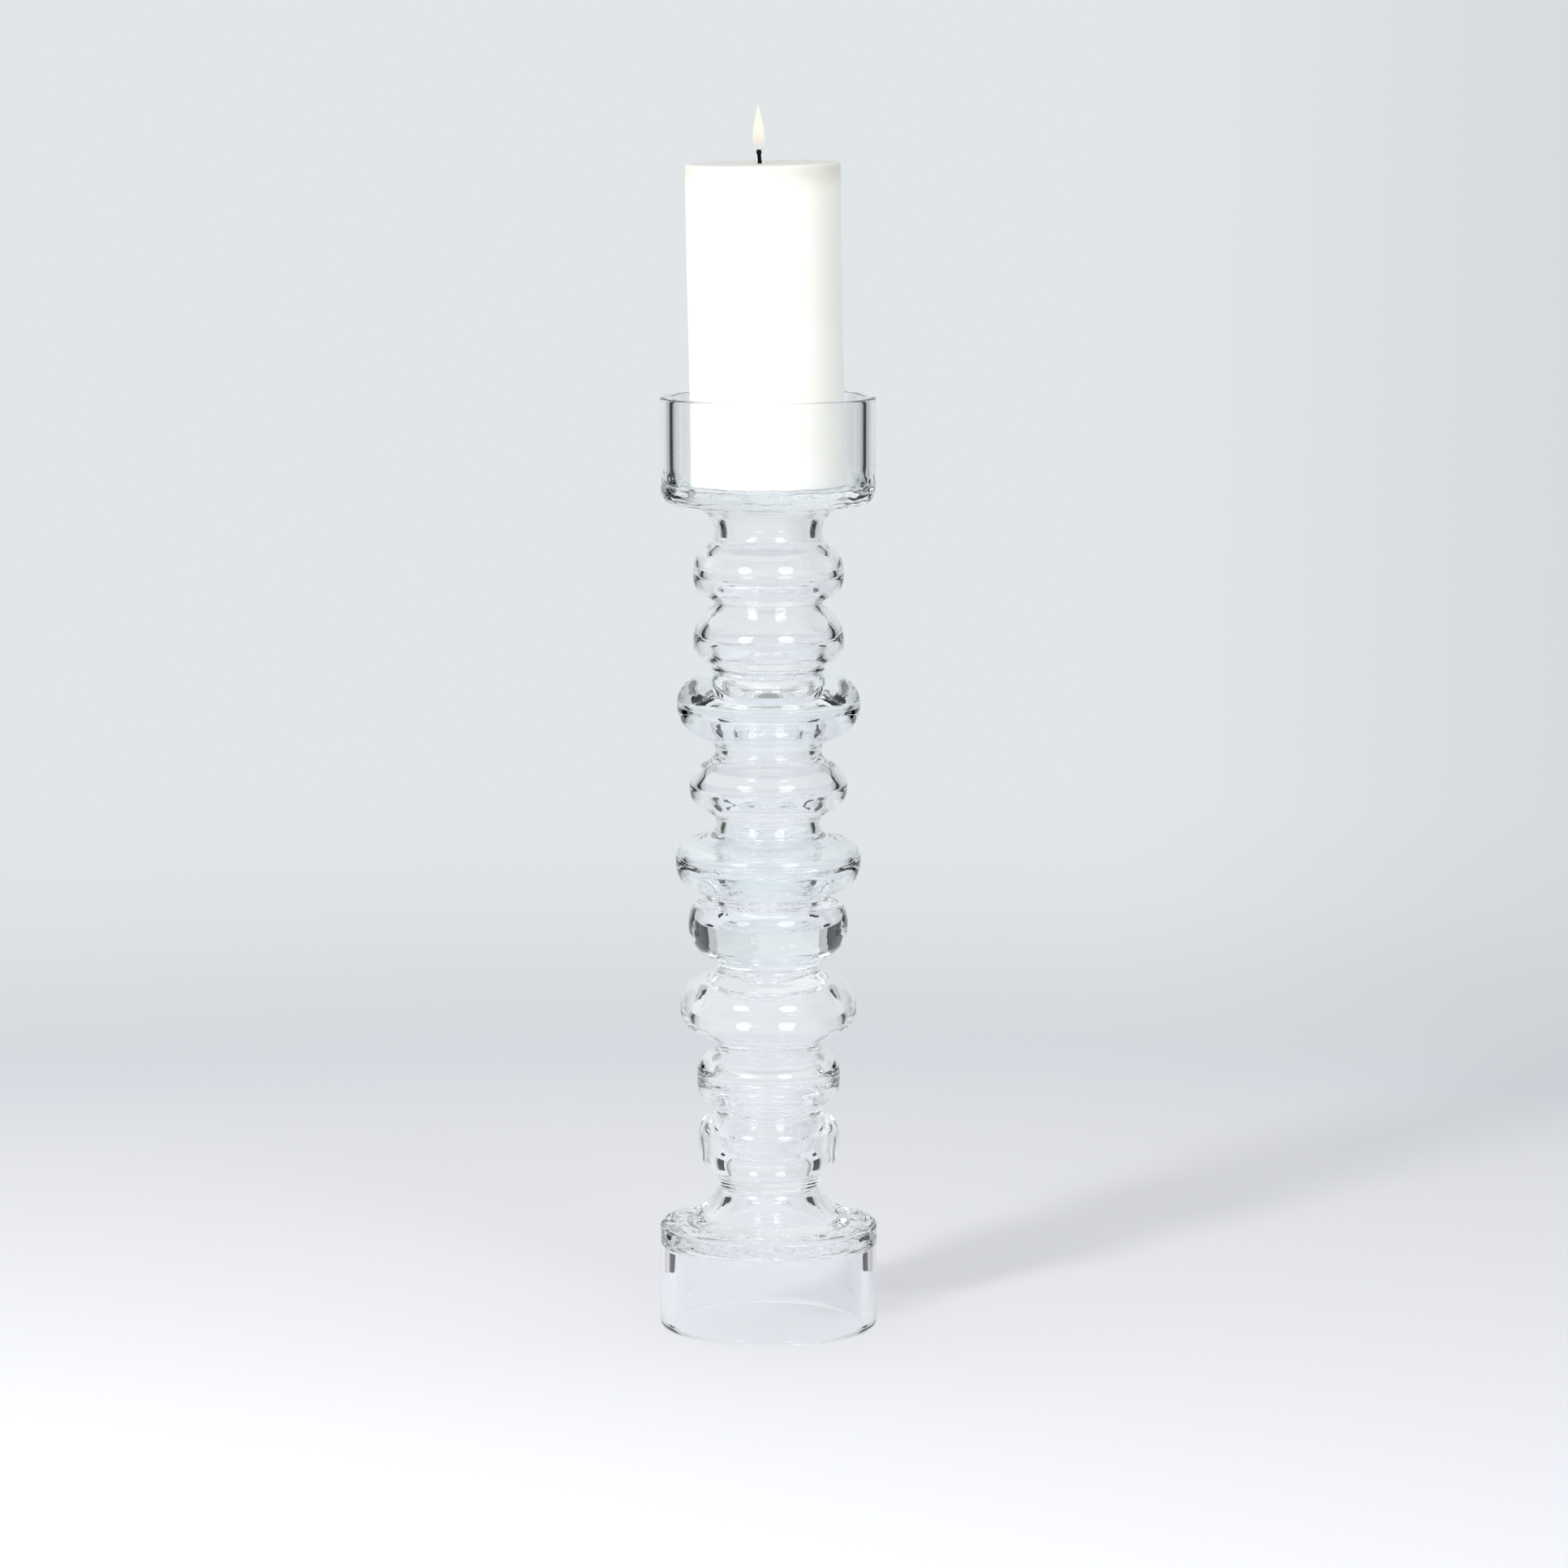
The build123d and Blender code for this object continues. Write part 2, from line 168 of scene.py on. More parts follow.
FOOT_BORE_UPRIGHT = 0.25
FOOT_BORE_SLOPE = 0.30

# ---------------------------------------------------------------- candle sizes, as in the CAD
CANDLE_HEIGHT = 155.4
CANDLE_LEAN = 1.0             # degrees towards -X
CANDLE_EDGE_ROUND = 1.2
WICK_OFFSET = -1.3            # along X, from the candle's axis
WICK_RADIUS = 1.3
WICK_ABOVE_WAX = 6.4
POOL_RADIUS = 6.8
POOL_DEPTH = 1.4
TAB_RADIUS = 9.0
TAB_THICKNESS = 0.5
TAB_COLLAR_RADIUS = 2.1
TAB_COLLAR_HEIGHT = 4.0
MELT_DROP = 0.45              # from the candle's top down to the edge of the melted wax
FLAME_CLEARANCE = 3.0         # from the candle's top up to the flame's foot
FLAME_HEIGHT = 24.6
TOP_SHADE_DEPTH = 16               # how far down its side the painted shade reaches, darkening the wax towards its top
PAINTED_TOP_SHADE = 0.76             # share of its brightness that the wax keeps at its top under the painted shade

# ---------------------------------------------------------------- how finely the glass is turned
STEM_SEGMENTS = 144           # round the axis
CUP_SEGMENTS = 256            # the cups have finer ripples to hold
STEP = 0.42                   # mm along the outline
STRAIGHT_STEP = 3 * STEP
CORNER_STEP = 0.28            # mm round small corners


# ---------------------------------------------------------------- outline pieces
def bezier(start, near, far, end, step=STEP):
    """Points along one cubic, its ends included."""
    length = math.dist(start, near) + math.dist(near, far) + math.dist(far, end)
    count = max(4, round((length + math.dist(start, end)) / 2 / step))
    points = []
    for i in range(count + 1):
        t = i / count
        s = 1 - t
        weights = (s**3, 3 * s * s * t, 3 * s * t * t, t**3)
        corners = (start, near, far, end)
        points.append(tuple(sum(w * c[k] for w, c in zip(weights, corners)) for k in range(2)))
    return points


def join(*runs):
    """One run of points from several that meet end to end."""
    points = list(runs[0])
    for run in runs[1:]:
        points += run[1:]
    return points


def swell(*girths):
    """Outline through girths given from the bottom up, upright at each of them."""
    runs = []
    for low, high in zip(girths, girths[1:]):
        rise = high.height - low.height
        near = (low.radius, low.height + low.above * rise)
        far = (high.radius, high.height - high.below * rise)
        runs.append(bezier(low[:2], near, far, high[:2]))
    return join(*runs)


def flare(neck, rim, upright, slope):
    """Outline that leaves a neck upright and spreads to a rim."""
    rise = rim[1] - neck[1]
    near = (neck[0], neck[1] + upright * rise)
    far = ((neck[0] + rim[0]) / 2, rim[1] - slope * rise)
    return bezier(neck, near, far, rim)


def straight(start, end):
    """Points along a straight run, its ends included."""
    count = max(1, round(math.dist(start, end) / STRAIGHT_STEP))
    return [
        tuple(start[k] + (end[k] - start[k]) * i / count for k in range(2))
        for i in range(count + 1)
    ]


def quarter(centre, radii, start, sweep):
    """Part of an ellipse about a centre, angles in degrees."""
    length = math.radians(abs(sweep)) * (radii[0] + radii[1]) / 2
    count = max(5, round(length / CORNER_STEP))
    points = []
    for i in range(count + 1):
        angle = math.radians(start + sweep * i / count)
        points.append((centre[0] + radii[0] * math.cos(angle), centre[1] + radii[1] * math.sin(angle)))
    return points


def rounded(corners, rounds):
    """Straight runs through right-angled corners, each inner corner rounded by its radius."""
    runs = []
    here = corners[0]
    for before, corner, after, radius in zip(corners, corners[1:], corners[2:], rounds):
        back = Vector(before) - Vector(corner)
        ahead = Vector(after) - Vector(corner)
        back.normalize()
        ahead.normalize()
        centre = Vector(corner) + (back + ahead) * radius
        start = Vector(corner) + back * radius
        end = Vector(corner) + ahead * radius
        first = math.degrees(math.atan2(start.y - centre.y, start.x - centre.x))
        last = math.degrees(math.atan2(end.y - centre.y, end.x - centre.x))
        sweep = (last - first + 180) % 360 - 180
        runs.append(straight(here, tuple(start)))
        runs.append(quarter(tuple(centre), (radius, radius), first, sweep))
        here = tuple(end)
    runs.append(straight(here, corners[-1]))
    return join(*runs)


# ---------------------------------------------------------------- hand-made unevenness
Finish = namedtuple("Finish", "face wave ripple")
GLASS, BOND, DEEP = 0, 1, 2   # material slots: clear face, one fused to a neighbour, thick glass

# wave is the steepness of the fine turning ridges, ripple the height in mm of the broad uneven
# places that run outwards across a pressed plate.
TURNED = Finish(GLASS, 0.011, 0)          # outside of the beads, the flares and the stub
DISC = Finish(DEEP, 0.011, 0)             # outside of the wide discs
BLOWN = Finish(GLASS, 0.013, 0)           # inside of a hollow
PRESSED = Finish(DEEP, 0.012, 0.14)       # thick corners of the cups, and the ring's dish
SMOOTH = Finish(GLASS, 0.002, 0.01)       # flat plates
HEAVY = Finish(DEEP, 0.022, 0.04)         # outside of the solid ring
POLISHED = Finish(GLASS, 0.0003, 0)       # walls of the cups
FUSED = Finish(BOND, 0, 0)

rng = random.Random(7)
WAVE_COUNT = 9
WAVES = [
    # wavelength mm, share of the slope, lean of the ridge towards the axis, swing round it in mm
    (rng.uniform(1.3, 4.5), rng.uniform(0.4, 1.0), rng.uniform(-0.4, 0.4), rng.uniform(0.2, 0.9))
    for _ in range(WAVE_COUNT)
]
WAVE_PHASES = [(rng.uniform(0, TAU), rng.uniform(0, TAU)) for _ in WAVES]
BLEND_PASSES = 8              # how gently one finish turns into the next
ON_AXIS = 1e-6                # mm within which a point lies on the axis
WAVE_FADE = 1.6               # mm over which the unevenness dies away next to a fused face
RIPPLE_COUNTS = (9, 14, 19, 25, 32, 41)
RIPPLES = [
    # how many round the plate, share of the height, radians of twist per mm of radius, start
    (
        count,
        rng.uniform(0.4, 1.0) * RIPPLE_COUNTS[0] / count,
        rng.uniform(-0.48, 0.48),
        rng.uniform(0, TAU),
    )
    for count in RIPPLE_COUNTS
]
UPRIGHT_TWIST = 2             # how much more a ripple twists along the height than outwards
RIDGE_DEPTH = 1.3             # ridges are this deep on a level face, and 1 less on an upright one
OVAL = 0.0022                 # out-of-roundness
OVAL_TURN = 37                # mm of height for each radian that the oval turns
WANDER = 0.16                 # mm that the stem's middle strays
WANDER_X, WANDER_Y = 43, 29   # mm of height for each radian of that straying


def wave(radius, height, angle):
    """How far the fine turning ridges stand out, in mm for a slope of 1."""
    total = 0.0
    for (length, share, lean, swing), (phase, turn) in zip(WAVES, WAVE_PHASES):
        place = height + lean * radius + swing * math.sin(angle + turn)
        total += share * length / TAU * math.sin(TAU * place / length + phase)
    return total


def ripple(radius, height, angle):
    """Broad uneven places of a pressed plate, as a share of their height."""
    total = 0.0
    for count, share, twist, start in RIPPLES:
        total += share * math.sin(count * angle + twist * (radius + UPRIGHT_TWIST * height) + start)
    return total


def stray(radius, height, angle):
    """Where a turned point really lies: slightly oval, about an axis that wanders."""
    oval = 1 + OVAL * math.cos(2 * angle + height / OVAL_TURN)
    x = radius * oval * math.cos(angle) + WANDER * math.sin(height / WANDER_X)
    y = radius * oval * math.sin(angle) + WANDER * math.cos(height / WANDER_Y)
    return x, y


# ---------------------------------------------------------------- meshes
def loft(name, rings, faces=None, closed=False):
    """Mesh through rings of points in millimetres. A ring may be one point. closed joins the
    last ring to the first. faces gives the material slot of each gap between rings."""
    bm = bmesh.new()
    loops = [[bm.verts.new([value * MM for value in point]) for point in ring] for ring in rings]
    count = max(len(loop) for loop in loops)
    for i in range(len(loops) if closed else len(loops) - 1):
        lower = loops[i]
        upper = loops[(i + 1) % len(loops)]
        for k in range(count):
            corners = []
            for loop, place in ((lower, k), (lower, k + 1), (upper, k + 1), (upper, k)):
                vert = loop[place % len(loop)]
                if vert not in corners:
                    corners.append(vert)
            face = bm.faces.new(corners)
            face.material_index = faces[i] if faces else 0
            face.smooth = True
    bmesh.ops.recalc_face_normals(bm, faces=bm.faces)
    for edge in bm.edges:
        if len({face.material_index for face in edge.link_faces}) > 1:
            edge.smooth = False
    mesh = bpy.data.meshes.new(name)
    bm.to_mesh(mesh)
    bm.free()
    piece = bpy.data.objects.new(name, mesh)
    bpy.context.scene.collection.objects.link(piece)
    return piece


def outline_of(parts):
    """Outline points, with the finish of each gap between them."""
    points = [parts[0][0][0]]
    finishes = []
    for run, finish in parts:
        points += run[1:]
        finishes += [finish] * (len(run) - 1)
    return points, finishes


def smooth_shares(points, finishes):
    """How much of the unevenness each outline point takes: none at a fused face."""
    shares = [1.0] * len(points)
    for i, finish in enumerate(finishes):
        if finish is not FUSED:
            continue
        for end in (points[i], points[(i + 1) % len(points)]):
            for k, point in enumerate(points):
                shares[k] = min(shares[k], math.dist(end, point) / WAVE_FADE)
    return shares


def evened(values):
    """Values along an outline, blended with their neighbours so that finishes meet gently."""
    for _ in range(BLEND_PASSES):
        before = values[:1] + values[:-1]
        after = values[1:] + values[-1:]
        values = [(a + 2 * b + c) / 4 for a, b, c in zip(before, values, after)]
    return values


def turned_ring(before, point, after, wave_share, ripple_share, segments):
    """One ring of a turned piece, pushed in and out along the outline's normal."""
    radius, height = point
    along = Vector(after) - Vector(before)
    along.normalize()
    depth = RIDGE_DEPTH - abs(along.y)
    ring = []
    for k in range(segments):
        angle = TAU * k / segments
        push = wave_share * depth * wave(radius, height, angle)
        if ripple_share:
            push += ripple_share * ripple(radius, height, angle)
        x, y = stray(radius + along.y * push, height, angle)
        ring.append((x, y, height - along.x * push))
    return ring


def lathe(name, parts, segments):
    """Mesh turned from outline runs, each with its finish, from the axis back to the axis, or
    from a point off the axis back to itself."""
    points, finishes = outline_of(parts)
    closed = points[0] == points[-1]
    if closed:
        points = points[:-1]
    shares = smooth_shares(points, finishes)
    finish_at = [finishes[min(i, len(finishes) - 1)] for i in range(len(points))]
    waves = evened([finish.wave for finish in finish_at])
    ripples = evened([finish.ripple for finish in finish_at])
    rings = []
    for i, point in enumerate(points):
        if point[0] < ON_AXIS:
            rings.append([(*stray(0, point[1], 0), point[1])])
            continue
        before = points[i - 1]
        after = points[(i + 1) % len(points)]
        rings.append(turned_ring(
            before, point, after, shares[i] * waves[i], shares[i] * ripples[i], segments
        ))
    return loft(name, rings, [finish.face for finish in finishes], closed)


# ---------------------------------------------------------------- materials
def node_material(name):
    material = bpy.data.materials.new(name)
    material.use_nodes = True
    tree = material.node_tree
    tree.nodes.clear()
    output = tree.nodes.new("ShaderNodeOutputMaterial")
    return material, tree, output


def add(tree, kind, **settings):
    node = tree.nodes.new(kind)
    for key, value in settings.items():
        setattr(node, key, value)
    return node


def remap(tree, value, start, end, low=0.0, high=1.0, kind="SMOOTHSTEP"):
    """Value that goes from low to high while another goes from start to end."""
    node = add(tree, "ShaderNodeMapRange", interpolation_type=kind)
    node.inputs["From Min"].default_value = start
    node.inputs["From Max"].default_value = end
    node.inputs["To Min"].default_value = low
    node.inputs["To Max"].default_value = high
    tree.links.new(value, node.inputs["Value"])
    return node.outputs["Result"]


def mixed(tree, factor, first, second):
    """Shader that goes from the first to the second as the factor goes from 0 to 1."""
    mix = add(tree, "ShaderNodeMixShader")
    for place, source in enumerate((factor, first, second)):
        tree.links.new(source, mix.inputs[place])
    return mix.outputs[0]


def noise_bump(tree, shader, scale, detail, strength, distance):
    """Fine relief from noise that is stretched by a scale for each axis."""
    place = add(tree, "ShaderNodeTexCoord")
    stretch = add(tree, "ShaderNodeMapping")
    stretch.inputs["Scale"].default_value = scale
    noise = add(tree, "ShaderNodeTexNoise")
    noise.inputs["Scale"].default_value = 1.0
    noise.inputs["Detail"].default_value = detail
    bump = add(tree, "ShaderNodeBump")
    bump.inputs["Strength"].default_value = strength
    bump.inputs["Distance"].default_value = distance
    tree.links.new(place.outputs["Object"], stretch.inputs["Vector"])
    tree.links.new(stretch.outputs["Vector"], noise.inputs["Vector"])
    tree.links.new(noise.outputs["Fac"], bump.inputs["Height"])
    tree.links.new(bump.outputs["Normal"], shader.inputs["Normal"])


def glass_material(name, tint, marks, relief, passes):
    """Clear soda-lime glass. marks is how close its fine surface marks lie along each axis,
    relief how strong they are, and passes the share of the lamps' light that one face lets by."""
    material, tree, output = node_material(name)
    glass = add(tree, "ShaderNodeBsdfPrincipled")
    glass.inputs["Base Color"].default_value = tint
    glass.inputs["Transmission Weight"].default_value = 1.0
    glass.inputs["Roughness"].default_value = 0.0
    glass.inputs["IOR"].default_value = 1.52
    noise_bump(tree, glass, scale=marks, detail=3.0, strength=relief, distance=0.00005)
    through = add(tree, "ShaderNodeBsdfTransparent")
    through.inputs["Color"].default_value = (passes, passes, passes, 1)
    path = add(tree, "ShaderNodeLightPath")
    either = add(tree, "ShaderNodeMath", operation="MAXIMUM")
    tree.links.new(path.outputs["Is Shadow Ray"], either.inputs[0])
    tree.links.new(path.outputs["Is Diffuse Ray"], either.inputs[1])
    surface = mixed(tree, either.outputs[0], glass.outputs[0], through.outputs[0])
    tree.links.new(surface, output.inputs["Surface"])
    return material


def bond_material():
    """The inside of a fused joint, which nothing shows."""
    material, tree, output = node_material("fused_face")
    clear = add(tree, "ShaderNodeBsdfTransparent")
    clear.inputs["Color"].default_value = (1, 1, 1, 1)
    tree.links.new(clear.outputs[0], output.inputs["Surface"])
    return material


def mottled(tree, scale, detail, dark, light, shader):
    """Base colour that drifts between two tones."""
    place = add(tree, "ShaderNodeTexCoord")
    noise = add(tree, "ShaderNodeTexNoise")
    noise.inputs["Scale"].default_value = scale
    noise.inputs["Detail"].default_value = detail
    ramp = add(tree, "ShaderNodeValToRGB")
    ramp.color_ramp.elements[0].position = 0.35
    ramp.color_ramp.elements[0].color = dark
    ramp.color_ramp.elements[1].position = 0.65
    ramp.color_ramp.elements[1].color = light
    tree.links.new(place.outputs["Object"], noise.inputs["Vector"])
    tree.links.new(noise.outputs["Fac"], ramp.inputs["Fac"])
    tree.links.new(ramp.outputs["Color"], shader.inputs["Base Color"])
    return place, ramp


def wax_material():
    """Smooth white wax that lets light in, with painted shade that darkens its side towards the top.
    """
    material, tree, output = node_material("white_wax")
    wax = add(tree, "ShaderNodeBsdfPrincipled")
    place, ramp = mottled(tree, 45, 3.0, (0.935, 0.930, 0.835, 1), (0.950, 0.946, 0.870, 1), wax)
    top = (CANDLE_FOOT + CANDLE_HEIGHT) * MM
    split = add(tree, "ShaderNodeSeparateXYZ")
    # Painted shade: the wax's colour darkens towards the top, standing in for weaker light from above.
    top_shade = remap(tree, split.outputs["Z"], top - TOP_SHADE_DEPTH * MM, top + MM, 1.0, PAINTED_TOP_SHADE)
    shaded = add(tree, "ShaderNodeHueSaturation")
    tree.links.new(place.outputs["Object"], split.inputs[0])
    tree.links.new(top_shade, shaded.inputs["Value"])
    tree.links.new(ramp.outputs["Color"], shaded.inputs["Color"])
    tree.links.new(shaded.outputs["Color"], wax.inputs["Base Color"])
    wax.inputs["Subsurface Weight"].default_value = 1.0
    wax.inputs["Subsurface Radius"].default_value = (1.0, 0.92, 0.70)
    wax.inputs["Subsurface Scale"].default_value = 0.007
    wax.inputs["Roughness"].default_value = 0.42
    wax.inputs["IOR"].default_value = 1.44
    noise_bump(tree, wax, scale=(380, 380, 130), detail=4.0, strength=0.20, distance=0.00008)
    tree.links.new(wax.outputs[0], output.inputs["Surface"])
    return material


def melt_material():
    """Melted wax, wet and a little greyer than the white."""
    material, tree, output = node_material("melted_wax")
    melt = add(tree, "ShaderNodeBsdfPrincipled")
    mottled(tree, 260, 2.0, (0.56, 0.565, 0.47, 1), (0.64, 0.64, 0.55, 1), melt)
    melt.inputs["Subsurface Weight"].default_value = 0.6
    melt.inputs["Subsurface Radius"].default_value = (1.0, 0.9, 0.6)
    melt.inputs["Subsurface Scale"].default_value = 0.002
    melt.inputs["Roughness"].default_value = 0.06
    melt.inputs["IOR"].default_value = 1.44
    tree.links.new(melt.outputs[0], output.inputs["Surface"])
    return material


def wick_material():
    """Cotton burnt to charcoal."""
    material, tree, output = node_material("charred_wick")
    cord = add(tree, "ShaderNodeBsdfPrincipled")
    mottled(tree, 1400, 4.0, (0.001, 0.001, 0.001, 1), (0.008, 0.007, 0.006, 1), cord)
    cord.inputs["Roughness"].default_value = 0.9
    cord.inputs["Specular IOR Level"].default_value = 0.08
    noise_bump(tree, cord, scale=(2600, 2600, 1300), detail=3.0, strength=0.8, distance=0.0002)
    tree.links.new(cord.outputs[0], output.inputs["Surface"])
    return material


def tab_material():
    """Pressed tinplate."""
    material, tree, output = node_material("tinned_steel")
    tin = add(tree, "ShaderNodeBsdfPrincipled")
    mottled(tree, 900, 3.0, (0.52, 0.52, 0.50, 1), (0.66, 0.66, 0.64, 1), tin)
    tin.inputs["Metallic"].default_value = 1.0
    tin.inputs["Roughness"].default_value = 0.35
    noise_bump(tree, tin, scale=(700, 700, 700), detail=2.0, strength=0.3, distance=0.00005)
    tree.links.new(tin.outputs[0], output.inputs["Surface"])
    return material


def flame_material(name, strength):
    """Pale glow that is clear and faintly pink at its foot. strength is how much it hides."""
    foot = (CANDLE_FOOT + CANDLE_HEIGHT + FLAME_CLEARANCE) * MM
    tip = foot + FLAME_HEIGHT * MM
    material, tree, output = node_material(name)
    place = add(tree, "ShaderNodeTexCoord")
    split = add(tree, "ShaderNodeSeparateXYZ")
    tree.links.new(place.outputs["Object"], split.inputs[0])
    along = remap(tree, split.outputs["Z"], foot, tip, kind="LINEAR")
    tones = add(tree, "ShaderNodeValToRGB")
    tones.color_ramp.elements[0].position = 0.16
    tones.color_ramp.elements[0].color = (0.88, 0.79, 0.78, 1)
    tones.color_ramp.elements[1].position = 0.48
    tones.color_ramp.elements[1].color = (1.0, 0.99, 0.86, 1)
    rose = tones.color_ramp.elements.new(0.34)
    rose.color = (0.99, 0.89, 0.78, 1)
    tree.links.new(along, tones.inputs["Fac"])
    thickness = remap(tree, along, 0.10, 0.46, 0.0, strength)
    glow = add(tree, "ShaderNodeEmission")
    glow.inputs["Strength"].default_value = 1.0
    tree.links.new(tones.outputs["Color"], glow.inputs["Color"])
    clear = add(tree, "ShaderNodeBsdfTransparent")
    surface = mixed(tree, thickness, clear.outputs[0], glow.outputs[0])
    tree.links.new(surface, output.inputs["Surface"])
    return material


CLEAR_TINT = (0.988, 0.990, 0.998, 1)
THICK_TINT = (0.942, 0.983, 0.988, 1)
FINE_MARKS = (14, 14, 620)
BROAD_MARKS = (60, 60, 240)
STEM_RELIEF, CUP_RELIEF, THICK_RELIEF = 0.08, 0.04, 0.12
STEM_PASSES, CUP_PASSES = 0.74, 0.985
# A thin and a thick glass for the stem, and for the two cups.
STEM_GLASS = (
    glass_material("stem_glass", CLEAR_TINT, FINE_MARKS, STEM_RELIEF, STEM_PASSES),
    glass_material("stem_thick_glass", THICK_TINT, BROAD_MARKS, THICK_RELIEF, STEM_PASSES),
)
CUP_GLASS = (
    glass_material("cup_glass", CLEAR_TINT, FINE_MARKS, CUP_RELIEF, CUP_PASSES),
    glass_material("cup_thick_glass", THICK_TINT, BROAD_MARKS, THICK_RELIEF, CUP_PASSES),
)
FUSED_FACE = bond_material()


def glass_piece(node, *parts, glass=STEM_GLASS, segments=STEM_SEGMENTS):
    """A turned glass piece that stands for a CAD node."""
    piece = lathe("glass_" + node, parts, segments)
    thin, thick = glass
    for material in (thin, FUSED_FACE, thick):
        piece.data.materials.append(material)
    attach(piece, HOLDER)
    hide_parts(node)


def bead(node, outer, bore, finish=TURNED):
    """A hollow section fused at both ends: outline up the outside and down the bore."""
    head = straight(outer[-1], bore[-1])
    foot = straight(bore[0], outer[0])
    glass_piece(node, (outer, finish), (head, FUSED), (bore[::-1], BLOWN), (foot, FUSED))


def make_beads():
    bead(
        "bead_1",
        swell(NECK_1_2, BELLY_1, NECK_UNDER_CUP),
        swell(BORE_1_2, BORE_BELLY_1, BORE_UNDER_CUP),
    )
    bead(
        "bead_2",
        swell(NECK_2_DISC, BELLY_2, NECK_1_2),
        swell(BORE_2_DISC, BORE_BELLY_2, BORE_1_2),
    )
    bead(
        "upper_disc",
        swell(NECK_DISC_3, BELLY_UPPER_DISC, NECK_2_DISC),
        swell(
            BORE_DISC_3, EDGE_UPPER_DISC_FOOT, BORE_UPPER_DISC, EDGE_UPPER_DISC_TOP, BORE_2_DISC
        ),
        DISC,
    )
    bead(
        "bead_3",
        swell(NECK_3_DISC, BELLY_3, NECK_DISC_3),
        swell(BORE_3_DISC, BORE_BELLY_3, BORE_DISC_3),
    )
    bead(
        "lower_disc",
        swell(NECK_DISC_STUB, BELLY_LOWER_DISC, COLLAR_OVER_DISC, NECK_3_DISC),
        swell(BORE_DISC_STUB, BORE_LOWER_DISC, EDGE_LOWER_DISC_TOP, BORE_3_DISC),
        DISC,
    )
    bead(
        "bead_4",
        swell(NECK_4_THICK, BELLY_4, NECK_FLAT_4),
        swell(BORE_4_THICK, BORE_4, BORE_FLAT_4),
    )


def make_cup_neck():
    rim = (CUP_FLARE_RADIUS, CUP_UNDERSIDE - FLARE_EDGE)
    edge = straight(rim, (CUP_FLARE_RADIUS, CUP_UNDERSIDE))
    outer = join(flare(NECK_UNDER_CUP[:2], rim, CUP_FLARE_UPRIGHT, CUP_FLARE_SLOPE), edge)
    bore_rim = (CUP_FLARE_BORE, CUP_UNDERSIDE)
    bore = flare(BORE_UNDER_CUP[:2], bore_rim, CUP_FLARE_BORE_UPRIGHT, CUP_FLARE_BORE_SLOPE)
    bead("cup_neck", outer, bore)


def make_candle_cup():
    bore = CUP_RADIUS - CUP_WALL
    wall_foot = (CUP_UNDERSIDE + CUP_FLOOR_TOP) / 2 + CUP_FOOT_ROUND
    wall_start = (CUP_RADIUS, wall_foot)
    wall_end = (bore, CUP_FLOOR_TOP + 2 * CUP_INNER_ROUND)
    heel = rounded(
        [(CUP_FLARE_RADIUS, CUP_UNDERSIDE), (CUP_RADIUS, CUP_UNDERSIDE), wall_start],
        [CUP_FOOT_ROUND],
    )
    wall = rounded(
        [wall_start, (CUP_RADIUS, CUP_RIM), (bore, CUP_RIM), wall_end],
        [CUP_RIM_ROUND, CUP_RIM_ROUND],
    )
    corner_end = (bore - 2 * CUP_INNER_ROUND, CUP_FLOOR_TOP)
    corner = rounded([wall_end, (bore, CUP_FLOOR_TOP), corner_end], [CUP_INNER_ROUND])
    glass_piece(
        "candle_cup",
        (straight((0, CUP_UNDERSIDE), (CUP_FLARE_BORE, CUP_UNDERSIDE)), SMOOTH),
        (straight((CUP_FLARE_BORE, CUP_UNDERSIDE), (CUP_FLARE_RADIUS, CUP_UNDERSIDE)), FUSED),
        (heel, PRESSED),
        (wall, POLISHED),
        (corner, PRESSED),
        (straight(corner_end, (0, CUP_FLOOR_TOP)), SMOOTH),
        glass=CUP_GLASS,
        segments=CUP_SEGMENTS,
    )


def make_base_cup():
    bore = BASE_RADIUS - BASE_WALL
    ceiling = BASE_TOP - BASE_PLATE
    wall_start = (BASE_RADIUS, ceiling)
    wall_end = (bore, ceiling - 2 * BASE_INNER_ROUND)
    shoulder = rounded(
        [(FOOT_FLARE_RADIUS, BASE_TOP), (BASE_RADIUS, BASE_TOP), wall_start],
        [BASE_SHOULDER_ROUND],
    )
    wall = rounded(
        [wall_start, (BASE_RADIUS, BASE_FOOT), (bore, BASE_FOOT), wall_end],
        [BASE_RIM_ROUND, BASE_RIM_ROUND],
    )
    underside = rounded([wall_end, (bore, ceiling), (0, ceiling)], [BASE_INNER_ROUND])
    glass_piece(
        "base_cup",
        (straight((0, BASE_TOP), (FOOT_BORE_RADIUS, BASE_TOP)), SMOOTH),
        (straight((FOOT_BORE_RADIUS, BASE_TOP), (FOOT_FLARE_RADIUS, BASE_TOP)), FUSED),
        (shoulder, PRESSED),
        (wall, POLISHED),
        (underside, SMOOTH),
        glass=CUP_GLASS,
        segments=CUP_SEGMENTS,
    )


